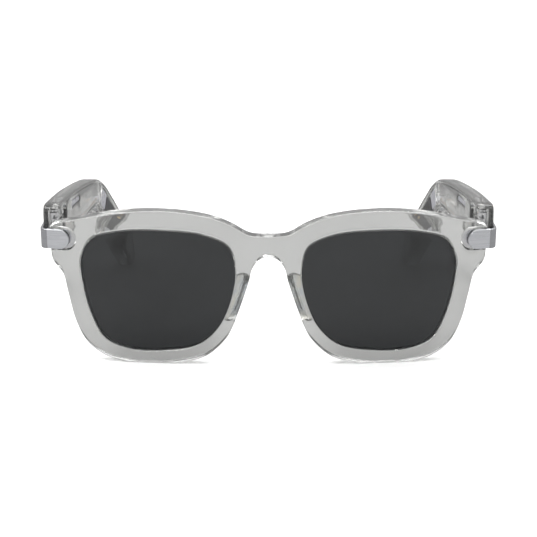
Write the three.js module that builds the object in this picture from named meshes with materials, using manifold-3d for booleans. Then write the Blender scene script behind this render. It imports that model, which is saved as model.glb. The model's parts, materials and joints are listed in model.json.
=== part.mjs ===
// Smart glasses: a clear crystal front with tinted lenses, brushed metal corner caps and hinges, and two
// hollow clear temples that carry the sound, the battery and the electronics.
//
// Millimetres, +Z up. X points to the wearer's left, -Y is forward (the way the lenses face) and the origin
// is the centre of the footprint, on the surface that the open glasses stand on.

import * as THREE from 'three';
import { mergeVertices } from 'three/addons/utils/BufferGeometryUtils.js';
import Module from 'manifold-3d';

const wasm = await Module();
wasm.setup();

// ---------------------------------------------------------------- driving dimensions

const GAP = 0.3;                      // clearance between pieces that touch

// Front: a flat outline of width and height, bent about a vertical axis and tilted forward.
const WRAP_RADIUS = 330;              // radius of the front's bend
const TILT = THREE.MathUtils.degToRad(5.5);
const RIM_THICKNESS = 4.4;
const RIM_BEVEL = 0.9;
const RIM_FOOT = 0.75;                // how far the rim's lowest edge is set below the surface before its flat cut
const LENS_THICKNESS = 1.8;
const LENS_EDGE = 0.7;                // how far the lens reaches into its groove
const LENS_DEPTH = 1.3;               // from the rim's front face to the lens

// Corner cap and hinge, in the front's own frame: x across, z up along the front.
const CAP_BOTTOM = 38.7;
const CAP_TOP = 45.3;
const CAP_INNER_END = 64.7;
const CAP_OUTER_FACE = 74.3;
const CAP_CORNER_RADIUS = 2.4;
const CAP_WALL = 1.2;
const CAP_REAR = 16.4;                // how far back the cap's side wall reaches
const LEDGE = 2;                      // bracket ledge that shows past the cap's round end
const NOTCH_HEIGHT = CAP_TOP - CAP_BOTTOM;
const CAP_PROUD = 0.25;               // how far the plate stands off the clear front
const CAP_SCREW_X = 66.3;
const CAP_SCREW_Z = 42;

const HINGE_X = 71;
const HINGE_Y = 18.3;
const KNUCKLE_RADIUS = 1.5;
const KNUCKLE_BORE = 0.9;
const PIN_RADIUS = 0.6;
const HINGE_BOTTOM = 36.6;
const HINGE_TOP = 48.6;
const LEAF_BOTTOM = 40.2;             // the temple's knuckle lies between the bracket's two
const LEAF_TOP = 44.2;

// Temple: a side outline, y back and z up, drawn flat and then set up as a straight arm and a straight tip.
const TEMPLE_OUTER_X = 74.6;
const BEND_Y = 94;                    // where the tip turns further inwards than the arm, above the ear
const ARM_TURN = THREE.MathUtils.degToRad(2.7);
const TIP_TURN = THREE.MathUtils.degToRad(7.8);
const TEMPLE_THICKNESS = 5.8;
const TEMPLE_FRONT = 17;
const TEMPLE_BEVEL = 1;
const OUTER_WALL = 1.4;
const COVER_THICKNESS = 1.2;
const COVER_INSET = 1.4;              // from the temple's outline to the inner covers' edges
const SEAM = 0.35;                    // half the gap between the arm's cover and the tip's
const WINDOW_FACE = 5.7;              // depth of the faces that show in the tip cover's window
const LEAF_RECESS = 3.7;              // depth from the outer face to the hinge leaf's seat
const LEAF_RECESS_REAR = 27;
const TIP_SLOPE = THREE.MathUtils.degToRad(-34.5);
const TIP_CENTRE = new THREE.Vector2(121, 22.8);
const TIP_CAVITY = new THREE.Vector2(52, 9);
const TIP_CAVITY_SHIFT = -3;          // the cavity reaches further up towards the bend than down
const CONTACTS_ALONG = [5, 11];       // the two charging contacts, from the tip's centre
const MICROPHONE = [33.4, 46.5];
const LEAF_SCREW = [23.6, 43.6];
const SPEAKER = [49.4, 43.7];
const VENT = { length: 14, height: 1.6, centre: [45, 47.2], angle: -0.03 };

const FRONT_SETBACK = 4.62;           // puts the rim's foremost edge close to zero depth
const CENTRE_Y = 74.77;               // half-way from the rim's foremost edge to the ends of the tips

// ---------------------------------------------------------------- materials

const look = (color, roughness, metalness, opacity = 1) => new THREE.MeshStandardMaterial({
  color, roughness, metalness, opacity, transparent: opacity < 1,
});

const clearAcetate = look(0xc9c9c6, 0.08, 0, 0.4);
const tintedGlass = look(0x3b3d3e, 0.04, 0, 0.9);
const padResin = look(0xd2d2c4, 0.15, 0, 0.5);
const brushedMetal = look(0xb4b7ba, 0.35, 1);
const chrome = look(0xd8dadc, 0.08, 1);
const darkPlastic = look(0x3c3d40, 0.5, 0);
const softRubber = look(0x1d1d1f, 0.8, 0);
const batteryFoil = look(0x8d8f92, 0.4, 0.6);
const boardLaminate = look(0x1f3a2c, 0.5, 0);
const flexFilm = look(0xa0702c, 0.4, 0);
const gold = look(0xd0a850, 0.25, 1);
const silverShield = look(0xa9a9b4, 0.3, 1);

// ---------------------------------------------------------------- geometry helpers

// A closed geometry as a solid that can be joined and cut.
function solid(geometry) {
  const bare = geometry.clone();
  bare.deleteAttribute('normal');
  bare.deleteAttribute('uv');
  const merged = mergeVertices(bare, 1e-4);
  return new wasm.Manifold(new wasm.Mesh({
    numProp: 3,
    vertProperties: new Float32Array(merged.attributes.position.array),
    triVerts: new Uint32Array(merged.index.array),
  }));
}

function geometryOf(manifold) {
  const mesh = manifold.getMesh();
  const geometry = new THREE.BufferGeometry();
  geometry.setAttribute('position', new THREE.BufferAttribute(new Float32Array(mesh.vertProperties), 3));
  geometry.setIndex(new THREE.BufferAttribute(new Uint32Array(mesh.triVerts), 1));
  geometry.computeVertexNormals();
  return geometry;
}

// Base geometry with pieces added to it and then cut from it.
function carve(base, cuts, joins = []) {
  const whole = joins.reduce((body, join) => body.add(solid(join)), solid(base));
  return geometryOf(cuts.reduce((body, cut) => body.subtract(solid(cut)), whole));
}

// Moves every vertex of a geometry through place(point).
function warp(geometry, place) {
  const moved = geometry.clone();
  const position = moved.attributes.position;
  const point = new THREE.Vector3();
  for (let i = 0; i < position.count; i += 1) {
    point.fromBufferAttribute(position, i);
    place(point);
    position.setXYZ(i, point.x, point.y, point.z);
  }
  moved.computeVertexNormals();
  return moved;
}

// The same piece for the wearer's other side, with its faces turned to point out again.
function mirrored(geometry) {
  const other = warp(mergeVertices(geometry.clone().deleteAttribute('normal')), (point) => { point.x *= -1; });
  const corners = other.index.array;
  for (let i = 0; i < corners.length; i += 3) {
    [corners[i], corners[i + 1]] = [corners[i + 1], corners[i]];
  }
  other.computeVertexNormals();
  return other;
}

const vectors = (pairs) => pairs.map(([a, b]) => new THREE.Vector2(a, b));

// Points along a closed smooth curve through the given corners.
function closedCurve(pairs, count) {
  const corners = pairs.map(([a, b]) => new THREE.Vector3(a, b, 0));
  const curve = new THREE.CatmullRomCurve3(corners, true, 'centripetal');
  return curve.getSpacedPoints(count).slice(0, count).map((point) => new THREE.Vector2(point.x, point.y));
}

// A closed outline moved outwards by distance (inwards where it is negative).
function offset(points, distance) {
  const turn = THREE.ShapeUtils.isClockWise(points) ? -1 : 1;
  return points.map((point, i) => {
    const before = points[(i + points.length - 1) % points.length];
    const after = points[(i + 1) % points.length];
    const along = after.clone().sub(before).normalize();
    return new THREE.Vector2(point.x + turn * along.y * distance, point.y - turn * along.x * distance);
  });
}

// A prism of an outline, from z = 0 to depth, with its edges bevelled inside the outline.
function prism(outline, depth, bevel = 0, steps = 1) {
  const shape = outline instanceof THREE.Shape ? outline : new THREE.Shape(outline);
  const geometry = new THREE.ExtrudeGeometry(shape, {
    depth: depth - 2 * bevel,
    curveSegments: 8,
    bevelEnabled: bevel > 0,
    bevelThickness: bevel,
    bevelSize: bevel,
    bevelOffset: -bevel,
    bevelSegments: steps,
  });
  return geometry.translate(0, 0, bevel);
}

function box(from, to) {
  const size = new THREE.Vector3(...to).sub(new THREE.Vector3(...from));
  const centre = new THREE.Vector3(...from).addScaledVector(size, 0.5);
  return new THREE.BoxGeometry(size.x, size.y, size.z).translate(centre.x, centre.y, centre.z);
}

// A round bar standing on z = bottom.
function cylinder(radius, bottom, top, x = 0, y = 0) {
  const bar = new THREE.CylinderGeometry(radius, radius, top - bottom, 16);
  return bar.rotateX(Math.PI / 2).translate(x, y, (top + bottom) / 2);
}

// A bar with round ends, length by height, centred on a point and turned by angle.
function stadium(length, height, centre, angle = 0) {
  const radius = height / 2;
  const reach = length / 2 - radius;
  const shape = new THREE.Shape();
  shape.absarc(reach, 0, radius, -Math.PI / 2, Math.PI / 2);
  shape.absarc(-reach, 0, radius, Math.PI / 2, 1.5 * Math.PI);
  return turned(shape.getPoints(5), centre, angle);
}

// A rectangle with rounded corners, centred on a point and turned by angle.
function roundedBar(length, height, radius, centre, angle = 0) {
  const shape = new THREE.Shape();
  const x = length / 2 - radius;
  const y = height / 2 - radius;
  shape.absarc(x, -y, radius, -Math.PI / 2, 0);
  shape.absarc(x, y, radius, 0, Math.PI / 2);
  shape.absarc(-x, y, radius, Math.PI / 2, Math.PI);
  shape.absarc(-x, -y, radius, Math.PI, 1.5 * Math.PI);
  return turned(shape.getPoints(2), centre, angle);
}

function turned(points, centre, angle) {
  const middle = new THREE.Vector2(...centre);
  const unique = points.filter((point, i) => i === 0 || point.distanceTo(points[i - 1]) > 1e-6);
  if (unique[0].distanceTo(unique[unique.length - 1]) < 1e-6) {
    unique.pop();
  }
  return unique.map((point) => point.clone().rotateAround(new THREE.Vector2(), angle).add(middle));
}

// ---------------------------------------------------------------- front: outlines

const frontMatrix = new THREE.Matrix4().makeRotationX(TILT).setPosition(0, FRONT_SETBACK, -RIM_FOOT);
const surfaceY = (x) => (x * x) / (2 * WRAP_RADIUS);
const nasalEdge = (height) => 6.1 + 0.29 * (30.6 - height) + 0.0028 * (30.6 - height) ** 2;

// Bends a flat prism onto the front: its z = 0 end lies rearDepth behind the front face.
const bend = (geometry, rearDepth) => warp(geometry, (point) => {
  point.set(point.x, rearDepth - point.z + surfaceY(point.x), point.y);
});

// The wearer's left half of the rim's outline, from the bridge's top over the corner to its underside.
function halfRim() {
  const shape = new THREE.Shape();
  shape.moveTo(0, 45.1);
  shape.splineThru(vectors([[6, 45.5], [11.7, 48.6], [17.5, 50.9], [26, 52.5], [36, 53], [48, 52.1], [60, 49.6],
    [68.6, 47.6]]));
  shape.quadraticCurveTo(70.7, 47, 70.8, 45);
  shape.lineTo(70.8, 36.6);
  shape.quadraticCurveTo(70.6, 34.4, 69.2, 33);
  shape.splineThru(vectors([[67.2, 30.3], [65.8, 23.7], [63.7, 14.2], [60.4, 7.2], [54.4, 2.4], [46, 0.3],
    [38, 0], [29, 0.9], [20.6, 3.6], [13.9, 9.85]]));
  shape.splineThru(vectors([14.5, 18, 22.5, 27, 30.6].map((height) => [nasalEdge(height), height])));
  shape.splineThru(vectors([[5.4, 33.8], [3, 37.2], [0, 38.2]]));
  return shape;
}

function rimOutline() {
  const curves = halfRim().curves;
  const half = curves.flatMap((curve) => {
    const steps = curve.isLineCurve ? 1 : Math.max(3, Math.round(curve.getLength() / 5));
    return curve.getPoints(steps).slice(0, -1);
  });
  const end = new THREE.Vector2(0, 38.2);
  const other = half.slice(1).reverse().map((point) => new THREE.Vector2(-point.x, point.y));
  return [...half, end, ...other].reverse();
}

const lensOpening = closedCurve([[10.7, 33.5], [12.3, 22.9], [16.4, 13.6], [23, 7.4], [34, 5], [46, 5], [54, 8.2],
  [58.4, 16.5], [60.6, 26], [61.1, 35.6], [57.4, 42.6], [48, 45.6], [35, 46.4], [21, 45.2], [12.9, 41.3]], 40);
const otherSide = (points) => points.map((point) => new THREE.Vector2(-point.x, point.y)).reverse();

// A long prism through the front, of an outline drawn on it.
const acrossFront = (outline) => prism(outline, 60).rotateX(Math.PI / 2).translate(0, 40, 0);

// The notch, ledge and plate of a corner share this outline: a bar with its round end inwards.
function cornerBar(innerEnd, margin = 0) {
  const radius = NOTCH_HEIGHT / 2 + margin;
  const middle = (CAP_TOP + CAP_BOTTOM) / 2;
  const centre = innerEnd + radius - margin;
  const shape = new THREE.Shape();
  shape.moveTo(80, middle + radius);
  shape.lineTo(centre, middle + radius);
  shape.absarc(centre, middle, radius, Math.PI / 2, 1.5 * Math.PI);
  shape.lineTo(80, middle - radius);
  return shape.getPoints(8);
}

// ---------------------------------------------------------------- front: pieces

function frontRim() {
  const shape = new THREE.Shape(rimOutline());
  shape.holes.push(new THREE.Path(lensOpening), new THREE.Path(otherSide(lensOpening)));
  const rim = bend(prism(shape, RIM_THICKNESS, RIM_BEVEL, 1), RIM_THICKNESS);
  const groove = bend(
    prism(offset(lensOpening, LENS_EDGE + GAP), LENS_THICKNESS + 2 * GAP),
    LENS_DEPTH + LENS_THICKNESS + GAP,
  );
  const notch = acrossFront(cornerBar(CAP_INNER_END - LEDGE, GAP));
  const below = box([-90, -20, -20], [90, 30, 0]).applyMatrix4(frontMatrix.clone().invert());
  return carve(rim, [groove, mirrored(groove), notch, mirrored(notch), below]);
}

function lens() {
  const blank = prism(offset(lensOpening, LENS_EDGE), LENS_THICKNESS);
  return bend(blank, LENS_DEPTH + LENS_THICKNESS);
}

// A soft wedge behind the rim that carries on its nasal edge and flares outwards.
function nosePad() {
  const thickness = 1.8;
  const outline = closedCurve([[4.9, 24], [5, 28.6], [6.1, 30.6], [8.8, 29.3], [11.3, 25], [11.4, 19.5],
    [9.2, 15.6], [6.2, 14.6], [5, 17.5]], 20);
  return warp(prism(outline, thickness, 0.6, 1), (point) => {
    const depth = point.x;
    const height = point.y;
    const flare = 0.055 * Math.max(0, depth - RIM_THICKNESS) ** 2;
    const x = nasalEdge(height) + point.z + flare;
    point.set(x, depth + surfaceY(x), height);
  });
}

// ---------------------------------------------------------------- corners: caps, brackets, pins

const hingeBore = () => cylinder(KNUCKLE_BORE, 30, 60, HINGE_X, HINGE_Y);
const behindCap = () => box([50, CAP_REAR, 20], [90, 40, 60]);

// A prism of a plan outline (x, y in the front's frame) that keeps to the corner's round-ended bar.
function cornerPiece(plan, innerEnd) {
  const body = solid(prism(plan, NOTCH_HEIGHT).translate(0, 0, CAP_BOTTOM));
  const bar = solid(acrossFront(cornerBar(innerEnd)));
  return geometryOf(body.intersect(bar)).applyMatrix4(frontMatrix);
}

// The brushed plate on the front, round the corner and back to the hinge, as one bent strip.
function cornerCap() {
  const start = CAP_INNER_END - 1;
  const bendX = CAP_OUTER_FACE - CAP_CORNER_RADIUS;
  const front = (x) => surfaceY(x) - CAP_PROUD;
  const plan = new THREE.Shape();
  plan.moveTo(start, front(start));
  plan.lineTo(bendX, front(bendX));
  plan.quadraticCurveTo(CAP_OUTER_FACE, front(bendX) + 0.3, CAP_OUTER_FACE, front(bendX) + CAP_CORNER_RADIUS);
  plan.lineTo(CAP_OUTER_FACE, 30);
  plan.lineTo(CAP_OUTER_FACE - CAP_WALL, 30);
  plan.lineTo(CAP_OUTER_FACE - CAP_WALL, front(bendX) + CAP_CORNER_RADIUS);
  plan.lineTo(bendX, front(bendX) + CAP_WALL);
  plan.lineTo(start, front(start) + CAP_WALL);
  return carve(cornerPiece(plan.getPoints(5), CAP_INNER_END), [behindCap(), capScrewBore()]);
}

const capScrewFront = surfaceY(CAP_SCREW_X) + 0.45;        // the screw ends inside the plate

function capScrewBore() {
  const bore = new THREE.CylinderGeometry(0.9, 0.9, 8, 16);
  return bore.translate(CAP_SCREW_X, capScrewFront - GAP + 4, CAP_SCREW_Z).applyMatrix4(frontMatrix);
}

function capScrew() {
  const length = 3.9;
  const shank = new THREE.CylinderGeometry(0.6, 0.6, length, 16);
  const head = new THREE.CylinderGeometry(1.2, 1.2, 0.7, 16);
  shank.translate(CAP_SCREW_X, capScrewFront + length / 2, CAP_SCREW_Z);
  head.translate(CAP_SCREW_X, capScrewFront + length + 0.3, CAP_SCREW_Z);
  return carve(shank, [], [head]).applyMatrix4(frontMatrix);
}

// The block behind the cap: a ledge that fills the rim's notch, a body beside the rim and two knuckles.
function hingeBracket() {
  const start = CAP_INNER_END - LEDGE - 1;
  const outer = CAP_OUTER_FACE - CAP_WALL - GAP;
  const bodyX = 67.4;
  const front = (x) => surfaceY(x) - CAP_PROUD + CAP_WALL + GAP;
  const shoulder = surfaceY(bodyX) + RIM_THICKNESS - 0.6;
  const plan = vectors([[start, front(start)], [outer - 1.6, front(outer - 1.6)], [outer, front(outer) + 1.4],
    [outer, 30], [bodyX, 30], [bodyX, shoulder], [start, shoulder - 1]]);
  const upperWeb = box([HINGE_X - KNUCKLE_RADIUS, 13.8, LEAF_TOP - 0.6], [HINGE_X, HINGE_Y, HINGE_TOP - 1.4]);
  const lowerWeb = box([HINGE_X - KNUCKLE_RADIUS, 13.8, HINGE_BOTTOM + 0.8], [HINGE_X, HINGE_Y, LEAF_BOTTOM - GAP]);
  const upper = cylinder(KNUCKLE_RADIUS, LEAF_TOP + GAP, HINGE_TOP, HINGE_X, HINGE_Y);
  const lower = cylinder(KNUCKLE_RADIUS, HINGE_BOTTOM, LEAF_BOTTOM - GAP, HINGE_X, HINGE_Y);
  const leafRoom = box([60, CAP_REAR, LEAF_BOTTOM - GAP], [80, 40, LEAF_TOP + GAP]);
  const head = new THREE.CylinderGeometry(1.6, 1.6, 6, 16).translate(CAP_SCREW_X, shoulder + 2.4, CAP_SCREW_Z);
  const block = carve(cornerPiece(plan, CAP_INNER_END - LEDGE), [behindCap()]);
  return carve(block, [leafRoom, hingeBore(), capScrewBore(), head.applyMatrix4(frontMatrix)],
    [upperWeb, lowerWeb, upper, lower]);
}

function hingePin() {
  const shank = cylinder(PIN_RADIUS, HINGE_BOTTOM - 0.1, HINGE_TOP + 0.5, HINGE_X, HINGE_Y);
  const head = cylinder(1.2, HINGE_TOP + GAP, HINGE_TOP + 0.8, HINGE_X, HINGE_Y);
  return carve(shank, [], [head]);
}

// ---------------------------------------------------------------- temple: placing its layers

// Flat layers are drawn as side outlines (y back, z up). depth counts inwards from the outer face.
const layer = (outline, fromDepth, toDepth, bevel = 0) => (
  prism(outline, toDepth - fromDepth, bevel).translate(0, 0, TEMPLE_THICKNESS - toDepth)
);

// Stands a flat layer on its outer face at (x, y) and turns it inwards about that place.
const templeFrame = (x, y, flatY, turn) => new THREE.Matrix4()
  .makeTranslation(x, y, 0)
  .multiply(new THREE.Matrix4().makeRotationZ(turn))
  .multiply(new THREE.Matrix4().makeTranslation(-TEMPLE_THICKNESS, -flatY, 0))
  .multiply(new THREE.Matrix4().set(0, 0, 1, 0, 1, 0, 0, 0, 0, 1, 0, 0, 0, 0, 0, 1));

// The arm and the tip are straight in plan, with the hinge axis at the origin, and meet at the bend.
const armMatrix = templeFrame(TEMPLE_OUTER_X - HINGE_X, TEMPLE_FRONT - HINGE_Y, TEMPLE_FRONT, ARM_TURN);
const bendPlace = new THREE.Vector3(BEND_Y, 0, TEMPLE_THICKNESS).applyMatrix4(armMatrix);
const tipMatrix = templeFrame(bendPlace.x, bendPlace.y, BEND_Y, TIP_TURN);
const onArm = (geometry) => geometry.applyMatrix4(armMatrix);
const onTip = (geometry) => geometry.applyMatrix4(tipMatrix);

// A place on the hanging tip: along its length and across it from the tip's centre.
function tipPlace(along, across = 0) {
  const point = new THREE.Vector2(along, across).rotateAround(new THREE.Vector2(), TIP_SLOPE).add(TIP_CENTRE);
  return [point.x, point.y];
}

const bore = (y, z, radius, fromDepth, toDepth) => layer(
  new THREE.Shape().absarc(y, z, radius, 0, 2 * Math.PI).getPoints(3).slice(0, -1), fromDepth, toDepth,
);

// ---------------------------------------------------------------- temple: outlines

// Straight arm, a round bend over the ear, and a hanging tip whose lowest edge is cut flat to stand on.
function templeOutline() {
  const shape = new THREE.Shape();
  shape.moveTo(TEMPLE_FRONT, 38);
  shape.lineTo(TEMPLE_FRONT, 48.2);
  shape.quadraticCurveTo(TEMPLE_FRONT, 51.4, 20.4, 51.5);
  shape.splineThru(vectors([[40, 51.3], [57, 50.3], [72, 49.1], [86, 47.5], [96, 45.4], [104, 42], [111, 37.6],
    [124, 29], [137, 19.4], [146, 12]]));
  shape.bezierCurveTo(151, 7.6, 151.5, 0, 147.6, 0);
  shape.lineTo(143.2, 0);
  shape.quadraticCurveTo(141.2, 0.9, 137, 4.4);
  shape.splineThru(vectors([[117, 18.2], [99, 30.4], [94, 34], [89, 36.3], [82, 37], [60, 37], [40, 36.8],
    [18.6, 36.5]]));
  shape.quadraticCurveTo(TEMPLE_FRONT, 36.5, TEMPLE_FRONT, 38);
  const points = shape.curves.flatMap((curve) => {
    const steps = curve.isLineCurve ? 1 : Math.max(3, Math.round(curve.getLength() / 8));
    return curve.getPoints(steps).slice(0, -1);
  });
  return points.reverse();
}

const TEMPLE_OUTLINE = templeOutline();

// The inner cover's outline: the temple's own, moved in by inset, from behind the hinge leaf to the tip.
function coverOutline(inset, frontY) {
  const behind = TEMPLE_OUTLINE.filter((point) => point.x > frontY + 3);
  const first = new THREE.Vector2(frontY - inset, behind[0].y);
  const last = new THREE.Vector2(frontY - inset, behind[behind.length - 1].y);
  return offset([first, ...behind, last], -inset);
}

// The hollow that holds the sound parts, from behind the hinge to the bend.
function armCavity() {
  const shape = new THREE.Shape();
  shape.moveTo(30, 38.6);
  shape.lineTo(88, 38.7);
  shape.quadraticCurveTo(93.4, 38.7, 93.4, 41);
  shape.quadraticCurveTo(93.4, 44.6, 88, 45.4);
  shape.splineThru(vectors([[72, 47.3], [57, 48.6], [40, 49.6], [30, 49.8]]));
  return shape.getPoints(4);
}

const tipCavity = roundedBar(TIP_CAVITY.x, TIP_CAVITY.y, 2, tipPlace(TIP_CAVITY_SHIFT), TIP_SLOPE);

// ---------------------------------------------------------------- temple: pieces

const coverFrom = TEMPLE_THICKNESS - COVER_THICKNESS;
const insideFrom = OUTER_WALL + GAP;
const insideTo = coverFrom - GAP;

const contactPlaces = CONTACTS_ALONG.map((along) => tipPlace(along));

const armOnly = box([BEND_Y + 0.1, -20, -20], [200, 80, 20]);
const tipOnly = box([0, -20, -20], [BEND_Y, 80, 20]);

function templeShell() {
  const body = layer(TEMPLE_OUTLINE, 0, TEMPLE_THICKNESS, TEMPLE_BEVEL);
  const rebate = layer(coverOutline(COVER_INSET - GAP, LEAF_RECESS_REAR), coverFrom - GAP, TEMPLE_THICKNESS + 1);
  const channel = layer(roundedBar(14, 3.6, 0.8, [96.5, 37.2], -0.62), OUTER_WALL, coverFrom);
  const leafSeat = box([10, 30, -1], [LEAF_RECESS_REAR, 49.9, TEMPLE_THICKNESS - LEAF_RECESS]);
  const leafTongue = box([20, 40, 0], [33, 46, TEMPLE_THICKNESS - LEAF_RECESS]);
  const arm = carve(body, [
    armOnly,
    layer(armCavity(), OUTER_WALL, TEMPLE_THICKNESS + 1),
    rebate,
    leafSeat,
    leafTongue,
    bore(...LEAF_SCREW, 0.9, 1.4, LEAF_RECESS + 0.1),
  ]);
  const tip = carve(body, [tipOnly, layer(tipCavity, OUTER_WALL, TEMPLE_THICKNESS + 1), rebate]);
  return carve(onArm(arm), [onTip(channel), cylinder(KNUCKLE_RADIUS + 0.4, 30, 49.9)], [onTip(tip)]);
}

// The clear cover over the sound parts, with the vent's slot. It ends in a seam at the bend.
function armCover() {
  const whole = layer(coverOutline(COVER_INSET, LEAF_RECESS_REAR + 1.5), coverFrom, TEMPLE_THICKNESS);
  const vent = layer(stadium(VENT.length + 0.6, VENT.height + 0.6, VENT.centre, VENT.angle), 0, 9);
  return onArm(carve(whole, [box([BEND_Y - SEAM, -20, -20], [200, 80, 20]), vent]));
}

// The clear cover of the tip, with a window that the tray's face and the connector's shield stand in.
function tipCover() {
  const whole = layer(coverOutline(COVER_INSET, LEAF_RECESS_REAR + 1.5), coverFrom, TEMPLE_THICKNESS);
  const window = layer(roundedBar(44.8, 7, 1.6, tipPlace(-6.5), TIP_SLOPE), 0, 9);
  return onTip(carve(whole, [box([0, -20, -20], [BEND_Y + SEAM, 80, 20]), window]));
}

// The leaf screwed into the temple, with the middle knuckle on the hinge axis.
function hingeLeaf() {
  const plate = layer(roundedBar(13, 5, 0.6, [25.6, 42.9]), LEAF_RECESS + GAP, insideTo - 0.1);
  const head = bore(...LEAF_SCREW, 1.4, insideTo - 0.7, 9);
  const hole = bore(...LEAF_SCREW, 0.9, 0, 9);
  const leaf = onArm(carve(plate, [head, hole]));
  const knuckle = cylinder(KNUCKLE_RADIUS, LEAF_BOTTOM, LEAF_TOP);
  const above = box([-4, -4, LEAF_TOP], [4, 2.2, 60]);
  return carve(leaf, [above, cylinder(KNUCKLE_BORE, 30, 60)], [knuckle]);
}

function leafScrew() {
  const shank = bore(...LEAF_SCREW, 0.6, 1.8, insideTo - 0.3);
  const head = bore(...LEAF_SCREW, 1.1, insideTo - 0.4, insideTo + 0.2);
  return onArm(carve(shank, [], [head]));
}

// A clear capsule behind the driver, with a window that the driver sits in and a duct behind it.
function speakerChamber() {
  const body = layer(stadium(41, 7.6, [56.8, 43.6], -0.02), insideFrom, insideTo);
  const window = layer(stadium(19, 6.2, SPEAKER, -0.02), insideFrom + 0.7, TEMPLE_THICKNESS);
  const duct = layer(roundedBar(16, 3.4, 1, [67.6, 43.4]), insideFrom + 0.7, TEMPLE_THICKNESS);
  return onArm(carve(body, [window, duct]));
}

function speakerDriver() {
  const basket = layer(stadium(18, 5.4, SPEAKER, -0.02), insideFrom + 1, insideTo - 0.4);
  const dome = layer(stadium(11, 3.4, SPEAKER, -0.02), insideTo - 0.6, insideTo);
  return onArm(carve(basket, [], [dome]));
}

const speakerMesh = () => onArm(layer(
  stadium(VENT.length, VENT.height, VENT.centre, VENT.angle), coverFrom + 0.2, TEMPLE_THICKNESS - 0.2,
));

const microphone = () => onArm(layer(roundedBar(3.2, 2.4, 0.3, MICROPHONE), insideFrom, insideFrom + 1.1));

const amplifierBoard = () => onArm(layer(
  roundedBar(8.4, 4.4, 0.5, [83.6, 42.6], -0.05), insideFrom + 0.2, insideFrom + 1,
));

// A flat ribbon from the microphone's end of the arm, over the bend and down to the tip's board.
function flexCable() {
  const route = new THREE.Path();
  route.moveTo(35, 39.1);
  route.lineTo(86, 39.1);
  route.bezierCurveTo(90.5, 39.1, 91.5, 39.3, 94, 38.2);
  route.lineTo(95.1, 37.65);
  const line = route.getPoints(5);
  const back = line.map((point) => new THREE.Vector2(point.x + 0.1, point.y + 0.3)).reverse();
  return onArm(layer([...line, ...back], insideFrom + 0.5, insideTo - 0.7));
}

// A thin dark seal that closes the sound space off from the tip.
function bendSeal() {
  const shape = new THREE.Shape();
  shape.moveTo(90.6, 40.1);
  shape.quadraticCurveTo(92.3, 41.6, 91.6, 44);
  shape.lineTo(90.7, 43.9);
  shape.quadraticCurveTo(91.2, 41.8, 89.9, 40.6);
  return onArm(layer(shape.getPoints(4), insideFrom, insideTo));
}

// The dark tray in the tip, open towards the outer wall. Its face shows in the cover's window and has
// stepped holes for the charging contacts.
function tipTray() {
  const body = layer(roundedBar(36.8, 8.2, 1.8, tipPlace(-3), TIP_SLOPE), insideFrom, insideTo);
  const face = layer(roundedBar(36.4, 6.4, 1.3, tipPlace(-2.9), TIP_SLOPE), insideTo - 0.1, WINDOW_FACE);
  const hollow = layer(roundedBar(35.2, 6.8, 1.2, tipPlace(-3), TIP_SLOPE), 0, insideTo - 0.6);
  const pins = contactPlaces.map(([y, z]) => bore(y, z, 0.95, 0, 9));
  const buttons = contactPlaces.map(([y, z]) => bore(y, z, 1.3, coverFrom - 0.1, 9));
  return onTip(carve(carve(body, [], [face]), [hollow, ...pins, ...buttons]));
}

const battery = () => onTip(layer(
  roundedBar(14.6, 6.2, 0.8, tipPlace(-12.4), TIP_SLOPE), insideFrom, insideTo - 0.9,
));

const tipBoard = () => onTip(layer(
  roundedBar(18.6, 6.2, 0.5, tipPlace(5), TIP_SLOPE), insideFrom, insideFrom + 0.6,
));

// A charging contact: a flange inside the tray and a pin that comes through to the cover's face.
function chargeContact([y, z]) {
  const flange = bore(y, z, 1.5, insideFrom + 0.9, insideTo - 0.9);
  const pin = bore(y, z, 0.65, insideTo - 1, TEMPLE_THICKNESS - 0.2);
  const button = bore(y, z, 1, coverFrom + 0.2, TEMPLE_THICKNESS);
  return onTip(carve(flange, [], [pin, button]));
}

// The silver shield over the connector where the ribbon meets the tip's tray.
const connectorShield = () => onTip(layer(
  roundedBar(6.7, 6.4, 1, tipPlace(-25.25), TIP_SLOPE), insideFrom, WINDOW_FACE,
));

// ---------------------------------------------------------------- assembly

const group = new THREE.Group();
group.name = 'smart_glasses';

const front = new THREE.Group();
front.applyMatrix4(frontMatrix);
const leftTemple = new THREE.Group();
leftTemple.position.set(HINGE_X, HINGE_Y, 0);
const rightTemple = new THREE.Group();
rightTemple.position.set(-HINGE_X, HINGE_Y, 0);

const assembly = new THREE.Group();
assembly.position.set(0, -CENTRE_Y, 0);
assembly.add(front, leftTemple, rightTemple);
group.add(assembly);

function place(parent, name, geometry, material) {
  const mesh = new THREE.Mesh(geometry, material);
  mesh.name = name;
  parent.add(mesh);
}

// The same piece on the wearer's left and right.
function pair(leftParent, rightParent, name, geometry, material) {
  place(leftParent, `${name}_left`, geometry, material);
  place(rightParent, `${name}_right`, mirrored(geometry), material);
}

place(front, 'front_rim', frontRim(), clearAcetate);
pair(front, front, 'lens', lens(), tintedGlass);
pair(front, front, 'nose_pad', nosePad(), padResin);
pair(assembly, assembly, 'corner_cap', cornerCap(), brushedMetal);
pair(assembly, assembly, 'cap_screw', capScrew(), chrome);
pair(assembly, assembly, 'hinge_bracket', hingeBracket(), brushedMetal);
pair(assembly, assembly, 'hinge_pin', hingePin(), chrome);

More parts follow.
